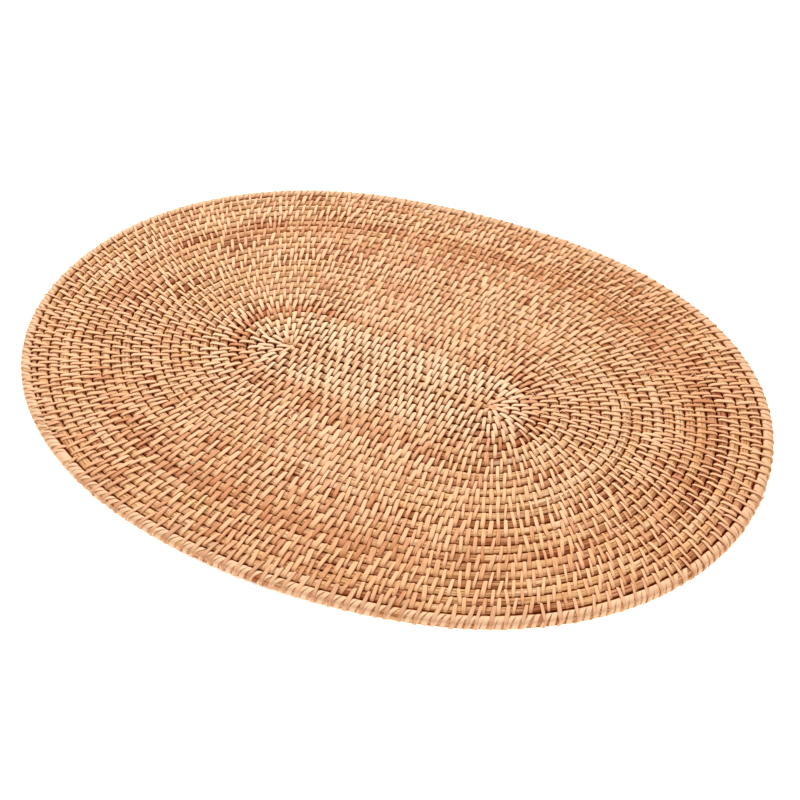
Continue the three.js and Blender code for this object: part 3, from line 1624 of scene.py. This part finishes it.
    def places(self, outer: Array, inner: Array, turns: Array, rng: np.random.Generator) -> Places:
        """Puts stitches over pairs of points.

        Args:
            outer: points on the outer rounds.
            inner: points on the inner rounds.
            turns: the turn of each stitch.
            rng: where each stitch's lean and tone come from.

        Returns:
            The stitches' places.
        """
        across = outer - inner
        span = np.linalg.norm(across, axis=1)
        strip_tone, strip_breadth = self.strips(len(span), rng)
        lean = self.leans(turns, rng)
        tone = rng.normal(self.usual_tone, self.tone_wander, len(span)) + self.paleness(turns) + strip_tone
        return Places(
            middle=(outer + inner) / 2,
            outward=across / span[:, None],
            span=span,
            lean=lean,
            tone=np.clip(tone, 0, 1),
            bleach=AGEING.bleach(turns),
            broad=self.breadths(turns) * strip_breadth,
            loft=1 + self.loft * self.nearness(turns),
            flat=PRESS.flatness(turns),
        )

    def strips(self, count: int, rng: np.random.Generator) -> tuple[Array, Array]:
        """Tones and breadths of the lengths of peel that the stitches are sewn with.

        Args:
            count: how many stitches there are.
            rng: where each length's tone and breadth come from.

        Returns:
            How much paler each stitch's peel is than usual, and how broad it is beside the usual.
        """
        lengths = rng.integers(*self.strip_stitches, size=count)
        tones = np.repeat(rng.normal(0, self.strip_tone, count), lengths)[:count]
        breadths = np.repeat(1 + rng.normal(0, self.strip_breadth, count), lengths)[:count]
        return tones, breadths

    def paleness(self, turns: Array) -> Array:
        """Works out how much paler the peel is than usual.

        Args:
            turns: the turn of each stitch.

        Returns:
            What is added to the tone of each.
        """
        ends = endness(turns)
        pale = (1 - fading(turns, self.broad_rounds)) * (self.ends_pale * ends - self.sides_dark * (1 - ends))
        pale += self.middle_pale * np.maximum(AGEING.bleach(turns), 0) + self.stained * AGEING.shade(turns)
        return pale - self.outer_dark

    def nearness(self, turns: Array) -> Array:
        """How near the middle of the mat stitches are, from 1 there to 0 well outside it."""
        return fading(turns, self.pale_rounds)

    def breadths(self, turns: Array) -> Array:
        """Works out how broad the peel is: broad in the middle, and fine at the ends.

        Args:
            turns: the turn of each stitch.

        Returns:
            The breadth of each next to its drawn breadth.
        """
        middle = fading(turns, self.broad_rounds)
        ends = endness(turns)
        out = self.sides_broad * (1 - ends) ** 2 - self.ends_fine * ends
        return 1 + self.middle_broad * middle + out * (1 - middle)


@dataclass
class Binding:
    """The peel: stitches over the wound cane, long ones over the edge, and wraps between those."""

    layout: Layout
    peel: Peel = Peel()
    weave: Weave = Weave()
    stitches_per_piece: int = 1150
    end_left: float = 0.02
    breadths: tuple[float, float] = (0.78, 1.15)
    slack: tuple[float, float] = (0.1 * MM, 0.5 * MM)
    edge_stand: float = 0.26 * MM
    edge_lift: float = 0.05 * MM
    across_edge: float = 0.05
    across_coil: float = 0.06
    wrap_breadth: float = 2.9 * MM
    wrap_breadths: tuple[float, float] = (0.85, 1.15)
    wrap_broad: float = 1.35
    wrap_lean: float = 0.3
    wrap_tone: tuple[float, float] = (0.5, 0.08)
    front_bleach: float = 0.35
    seed: int = 21

    def __post_init__(self) -> None:
        """Places the stitches of the coil, and makes the tree that lays them."""
        coil = self.layout.coil
        self.marks = self.weave.marks(coil, coil.turns[-1] - self.end_left)
        self.growth = self.peel.growth()
        log.info("%d stitches over the coil", len(self.marks))

    def stitches(self, finish: Material) -> list[Piece]:
        """Builds the stitches over the wound cane, in a few pieces.

        Args:
            finish: the stitches' finish.

        Returns:
            The pieces.
        """
        places = self.weave.coil_places(self.layout.coil, self.marks)
        strip = self.peel.strip("stitch", STITCH_BENDS)
        count = math.ceil(len(self.marks) / self.stitches_per_piece)
        cuts = [number * len(self.marks) // count for number in range(count + 1)]
        return [
            self._sewn(f"stitches_{number}", places.part(first, after), strip, finish, self.breadths)
            for number, (first, after) in enumerate(zip(cuts, cuts[1:]), 1)
        ]

    def edge(self, finish: Material) -> list[Piece]:
        """Builds the peel of the edge: long stitches over the last round, and wraps between them.

        Args:
            finish: the finish of both.

        Returns:
            The stitches and the wraps.
        """
        rng = np.random.default_rng(self.seed)
        lengths = self._long_lengths(rng)
        return [self._long_stitches(lengths, rng, finish), self._wraps(lengths, rng, finish)]

    def _long_lengths(self, rng: np.random.Generator) -> Array:
        """Places the long stitches, each between two stitches of the last round.

        Args:
            rng: where their wander comes from.

        Returns:
            Each stitch's length along the edge cane, rising.
        """
        coil, edge = self.layout.coil, self.layout.edge
        total = edge.lengths[-1]
        beside = sorted(
            edge.nearest(coil.point(mark), mark % 1 - self.across_edge, mark % 1 + self.across_edge) % 1
            for mark in self.marks
            if mark > coil.turns[-1] - 1
        )
        starts = edge.length(np.array(beside))
        gaps = np.diff(starts, append=starts[0] + total)
        lengths = []
        for start, gap in zip(starts, gaps):
            lengths += self.weave.between(float(start), float(start + gap))
        return np.sort((np.array(lengths) + rng.normal(0, self.weave.wander, len(lengths))) % total)

    def _long_stitches(self, lengths: Array, rng: np.random.Generator, finish: Material) -> Piece:
        """Builds the long stitches over the edge cane and the last round.

        Args:
            lengths: each stitch's length along the edge cane.
            rng: where their lean and tone come from.
            finish: their finish.

        Returns:
            The stitches.
        """
        turns = self.layout.edge.turn(lengths)
        outer = self.layout.edge.point(turns)
        inner_turns = [self._inner_turn(point, turn) for point, turn in zip(outer, turns)]
        inner = self.layout.coil.point(np.array(inner_turns))
        places = self.weave.places(outer, inner, turns + self.layout.rounds.edge_turn, rng)
        over = replace(
            self.peel,
            half_width=self.peel.half_width + self.edge_stand,
            half_height=self.peel.half_height + self.edge_lift,
        )
        strip = over.strip("edge stitch", STITCH_BENDS, bare_from=self.peel.span / 2)
        return self._sewn("edge_stitches", places, strip, finish, self.breadths)

    def _inner_turn(self, point: Array, turn: float) -> float:
        """Finds where the wound cane passes nearest to a place on the edge cane.

        Args:
            point: the place.
            turn: how far round the edge it is, from 0 to 1.

        Returns:
            The turn of the nearest place on the wound cane.
        """
        coil, base, reach = self.layout.coil, self.layout.rounds.edge_turn, self.across_coil
        last = coil.turns[-1]
        found = [
            coil.nearest(point, around - reach, min(around + reach, last))
            for around in (base + turn, base + 1 + turn)
            if around - reach < last
        ]
        return min(found, key=lambda near: np.linalg.norm(coil.point(near) - point))

    def _wraps(self, lengths: Array, rng: np.random.Generator, finish: Material) -> Piece:
        """Builds the wraps round the edge cane, in the gaps between its long stitches.

        Args:
            lengths: each long stitch's length along the edge cane.
            rng: where their tone comes from.
            finish: their finish.

        Returns:
            The wraps.
        """
        edge = self.layout.edge
        total = edge.lengths[-1]
        wraps = []
        for start, end in zip(lengths, np.append(lengths[1:], lengths[0] + total)):
            room = max(int(round((end - start) / self.wrap_breadth)) - 1, 1)
            wraps += [start + (end - start) * (i + 1) / (room + 1) for i in range(room)]
        turns = edge.turn(np.array(wraps) % total)
        whole = np.ones(len(wraps))
        places = Places(
            middle=edge.point(turns),
            outward=to_right(edge.direction(turns)),
            span=whole * self.peel.span,
            lean=whole * self.wrap_lean,
            tone=np.clip(rng.normal(*self.wrap_tone, len(wraps)), 0, 1),
            broad=whole * self.wrap_broad,
            loft=whole,
            flat=PRESS.flatness(turns + self.layout.rounds.edge_turn),
            bleach=self.front_bleach * np.maximum(-np.sin(turns * TURN), 0),
        )
        strip = self.peel.strip("edge wrap", WRAP_BENDS, bare_from=0)
        return self._sewn("edge_wraps", places, strip, finish, self.wrap_breadths)

    def _sewn(
        self, name: str, places: Places, strip: Piece, finish: Material, breadths: tuple[float, float]
    ) -> Piece:
        """Grows one piece of stitches.

        Args:
            name: the piece's name.
            places: where its stitches lie.
            strip: the stitch that is repeated.
            finish: their finish.
            breadths: the least and most that a stitch's breadth is multiplied by.

        Returns:
            The piece.
        """
        piece = self.growth.grow(
            places.seeds(name + " seeds", self.peel),
            name,
            Strip=strip,
            Finish=finish,
            Least_Breadth=breadths[0],
            Most_Breadth=breadths[1],
            Least_Slack=self.slack[0],
            Most_Slack=self.slack[1],
            Seed=len(name),
        )
        return piece


@dataclass(frozen=True)
class Fray:
    """Slivers that stand off the stitches where the peel has split."""

    turns: tuple[float, ...] = (5.09, 6.04, 7.04, 8.7, 14.04, 17.1, 21.09, 11.6)
    slivers: int = 4
    length: float = 6.5 * MM
    lengths: tuple[float, float] = (0.6, 1.1)
    breadth: float = 0.9 * MM
    narrowing: float = 0.85
    thickness: float = 0.3 * MM
    thinning: float = 0.6
    root: float = 6.1 * MM
    rise: float = 2.4 * MM
    rise_power: float = 1.5
    spread: float = 3.5 * MM
    turned: tuple[float, float] = (1.0, 0.9)
    curl: float = 0.5
    tones: tuple[float, float] = (0.1, 0.8)
    sections: int = 8
    seed: int = 31

    def build(self, coil: Route, finish: Material) -> Piece:
        """Builds every sliver as one piece.

        Args:
            coil: the coil's route.
            finish: the slivers' finish.

        Returns:
            The piece.
        """
        rng = np.random.default_rng(self.seed)
        points, faces, tones = [], [], []
        for turn in np.repeat(self.turns, self.slivers):
            sliver = self._sliver(coil, turn, rng)
            start = len(tones)
            ring = facing_out(sliver, strip_faces(self.sections, len(sliver) // self.sections))
            faces += [tuple(start + corner for corner in face) for face in ring]
            points.append(sliver)
            tones += [rng.uniform(*self.tones)] * len(sliver)
        mesh = mesh_from("fray", np.concatenate(points), faces=faces, tone=tones)
        mesh.materials.append(finish)
        piece = bpy.data.objects.new("fray", mesh)
        bpy.context.scene.collection.objects.link(piece)
        return piece

    def _sliver(self, coil: Route, turn: float, rng: np.random.Generator) -> Array:
        """Draws one sliver, from its root to its tip.

        Args:
            coil: the coil's route.
            turn: where on the coil it is.
            rng: what its shape is drawn from.

        Returns:
            Four corners for each section.
        """
        along = coil.direction(turn)
        away = to_right(along)
        foot = coil.point(turn) + along * rng.normal(0, self.spread) + away * rng.normal(0, self.spread)
        angle = rng.normal(*self.turned)
        way = away * math.cos(angle) + along * math.sin(angle)
        side = -to_right(way)
        length = self.length * rng.uniform(*self.lengths)
        curl = rng.normal(0, self.curl) * length
        corners = []
        for step in np.linspace(0, 1, self.sections):
            middle = foot + way * length * step + side * curl * step**2
            half = side * self.breadth / 2 * (1 - self.narrowing * step)
            low = self.root - self.thickness + self.rise * step**self.rise_power
            high = low + self.thickness * (1 - self.thinning * step)
            left, right = middle - half, middle + half
            corners += [(*left, low), (*right, low), (*right, high), (*left, high)]
        return np.array(corners)


# ---- the mat and its studio


@dataclass
class Placemat:
    """The whole mat: wound cane, edge cane, and the peel that binds them."""

    layout: Layout = field(default_factory=Layout)
    cane_finish: CaneFinish = CaneFinish()
    peel_finish: PeelFinish = PeelFinish()
    edge_finish: PeelFinish = EDGE_PEEL
    fray: Fray = Fray()

    def build(self) -> list[Piece]:
        """Builds every piece of the mat.

        Returns:
            The pieces, the wound cane first.
        """
        cane = self.cane_finish.build("core cane")
        peel = self.peel_finish.build("split peel")
        canes = CaneWork(self.layout)
        binding = Binding(self.layout)
        return [
            canes.wound(cane),
            canes.edge(cane),
            *binding.stitches(peel),
            *binding.edge(self.edge_finish.build("edge peel")),
            self.fray.build(self.layout.coil, peel),
        ]


class Lamp(NamedTuple):
    """A square lamp that faces the mat: its place and side in metres, and its power in watts."""

    name: str
    place: tuple[float, float, float]
    size: float
    power: float

    def hang(self) -> None:
        """Hangs the lamp."""
        light = bpy.data.lights.new(self.name, "AREA")
        light.size = self.size
        light.energy = self.power
        lamp = bpy.data.objects.new(self.name, light)
        lamp.location = self.place
        lamp.rotation_euler = (-Vector(self.place)).to_track_quat("-Z", "Y").to_euler()
        bpy.context.scene.collection.objects.link(lamp)


@dataclass(frozen=True)
class Studio:
    """Floor, lights and camera."""

    floor_size: float = 6.0
    floor_tones: tuple[float, float] = (0.9, 0.94)
    floor_speckle: float = 30.0
    floor_roughness: float = 0.9
    floor_glow: float = 0.8
    mat_rim: tuple[float, float] = (0.985, 1.01)
    lamps: tuple[Lamp, ...] = (
        Lamp("key", (-2.7, 3.4, 3.4), size=1.2, power=288),
        Lamp("fill", (2.4, -2.8, 2.4), size=3.5, power=50),
    )
    sky: Colour = (1, 0.86, 0.72)
    sky_strength: float = 0.55
    lens: float = 67.5
    nearest_seen: float = 0.01
    distance: float = 0.8702
    back: tuple[float, float, float] = (0.3073, -0.6536, 0.6917)
    target: tuple[float, float, float] = (0.0166, -0.0160, 0.005)

    def build(self) -> Piece:
        """Lays the floor, hangs the lights and places the camera.

        Returns:
            The floor.
        """
        floor = self._floor()
        self._sky()
        for lamp in self.lamps:
            lamp.hang()
        self._camera()
        return floor

    def _floor(self) -> Piece:
        """Lays a pale plain floor.

        Returns:
            The floor.
        """
        half = self.floor_size / 2
        corners = np.array([[-half, -half, 0], [half, -half, 0], [half, half, 0], [-half, half, 0]])
        floor = bpy.data.objects.new("floor", mesh_from("floor", corners, faces=[(0, 1, 2, 3)]))
        bpy.context.scene.collection.objects.link(floor)
        paint = Paint("floor")
        speckle = paint.noise(Vector=paint.place(), Scale=self.floor_speckle)
        stops = [(position, (tone,) * 3) for position, tone in enumerate(self.floor_tones)]
        paint.feed(paint.shader, Base_Color=paint.ramp(speckle, stops), Roughness=self.floor_roughness)
        paint.feed(paint.shader, Emission_Color=WHITE, Emission_Strength=self._glow(paint))
        floor.data.materials.append(paint.material)
        return floor

    def _glow(self, paint: Paint) -> Socket:
        """Works out how strongly the floor lights itself: evenly, except under the mat.

        Args:
            paint: the floor material's tree.

        Returns:
            The strength's socket.
        """
        low, high = cad_box
        scale = (2 / (high.x - low.x), 2 / (high.y - low.y), 0)
        oval = paint.vectors("MULTIPLY", paint.place(), scale).outputs[0]
        reach = paint.vectors("LENGTH", oval).outputs["Value"]
        return paint.ranged(reach, self.mat_rim, (0.0, self.floor_glow), kind="LINEAR")

    def _sky(self) -> None:
        """Lights everything evenly from all round."""
        world = bpy.data.worlds.new("studio")
        bpy.context.scene.world = world
        world.use_nodes = True
        background = world.node_tree.nodes["Background"]
        background.inputs["Color"].default_value = (*self.sky, 1)
        background.inputs["Strength"].default_value = self.sky_strength

    def _camera(self) -> None:
        """Places the camera and makes it the scene's."""
        data = bpy.data.cameras.new("camera")
        data.lens = self.lens
        data.clip_start = self.nearest_seen
        camera = bpy.data.objects.new("camera", data)
        back = Vector(self.back).normalized()
        camera.location = Vector(self.target) + self.distance * back
        camera.rotation_euler = (-back).to_track_quat("-Z", "Y").to_euler()
        bpy.context.scene.collection.objects.link(camera)
        bpy.context.scene.camera = camera
        bpy.context.scene.view_settings.view_transform = "Standard"


def main() -> None:
    """Builds the mat and its studio, and logs each piece's triangle count."""
    logging.basicConfig(level=logging.INFO, format="%(name)s: %(message)s")
    floor = Studio().build()
    mat = Placemat()
    pieces = mat.build()
    for piece in pieces:
        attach(piece, "root")
        piece.data.calc_loop_triangles()
        log.info("%s: %d triangles", piece.name, len(piece.data.loop_triangles))


if __name__ == "__main__":
    main()
